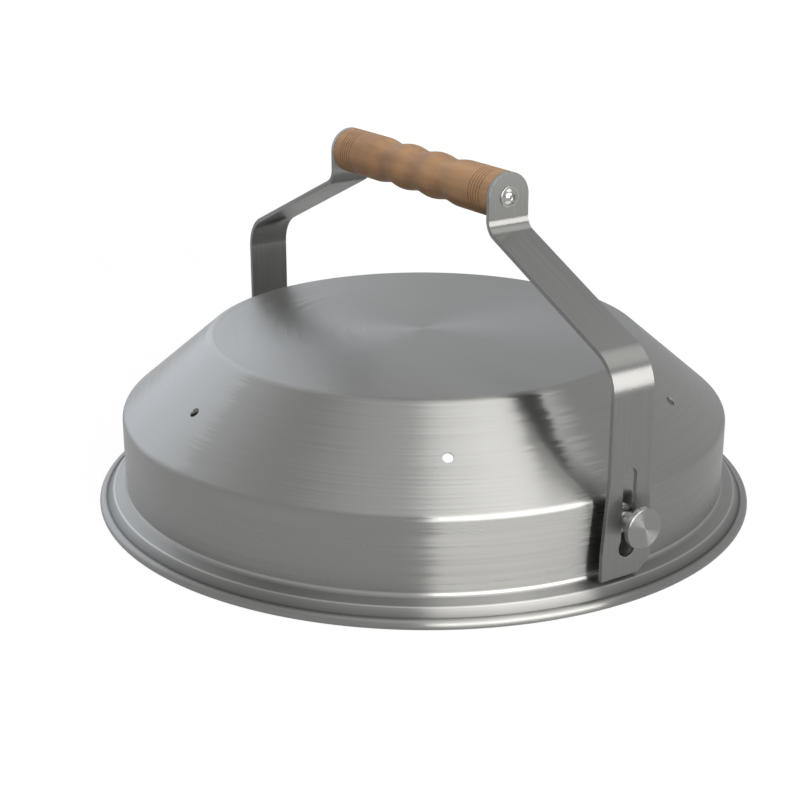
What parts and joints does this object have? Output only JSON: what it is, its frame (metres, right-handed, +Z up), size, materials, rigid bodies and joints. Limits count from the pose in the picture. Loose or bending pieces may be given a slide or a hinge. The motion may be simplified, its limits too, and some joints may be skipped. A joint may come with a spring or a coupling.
{
  "type": "portable pizza oven hood",
  "caption": "Domed stainless hood of a portable pizza oven: rolled rim, vented cone, and a folding, lifting bail handle with a turned wooden grip held by thumb knobs.",
  "frame": {"origin": "centre of the circle on which the rim's underside rests", "axes": "+Z up; X along the grip, with the right arm at +X; Y across the grip, and the handle folds down towards +Y"},
  "size_m": [0.4492, 0.44, 0.2336],
  "materials": {
    "hood_sheet": "stainless sheet, spun and brushed round the axis",
    "handle_bar": "stainless flat bar brushed lengthwise",
    "turned_knob": "stainless steel with fine turning rings",
    "fastener_steel": "plain stainless fastener steel",
    "grip_screw": "polished stainless screw",
    "insert_brass": "plain machined brass",
    "grip_wood": "oiled turned beech"
  },
  "bodies": {
    "hood": {"dome_shell": "hood_sheet", "weld_nut_right": "fastener_steel", "weld_nut_left": "fastener_steel"},
    "slip_washers": {"slip_washer_right": "fastener_steel", "slip_washer_left": "fastener_steel"},
    "handle": {"arm_right": "handle_bar", "arm_left": "handle_bar", "grip": "grip_wood", "grip_insert_right": "insert_brass", "grip_insert_left": "insert_brass", "grip_screw_right": "grip_screw", "grip_screw_left": "grip_screw"},
    "right_knob": {"knob_right": "turned_knob"},
    "left_knob": {"knob_left": "turned_knob"}
  },
  "joints": [
    {"name": "handle_fold", "type": "hinge", "parent": "hood", "child": "slip_washers", "pos_m": [0, 0, 0.0486], "axis": [-1, 0, 0], "range_deg": [0, 63.5]},
    {"name": "handle_lift", "type": "slide", "parent": "slip_washers", "child": "handle", "axis": [0, 0, 1], "range_m": [0, 0.0178]},
    {"name": "knob_right_turn", "type": "hinge", "parent": "hood", "child": "right_knob", "pos_m": [0.2106, 0, 0.0486], "axis": [1, 0, 0], "range_deg": [0, 720]},
    {"name": "knob_left_turn", "type": "hinge", "parent": "hood", "child": "left_knob", "pos_m": [-0.2106, 0, 0.0486], "axis": [-1, 0, 0], "range_deg": [0, 720]}
  ]
}
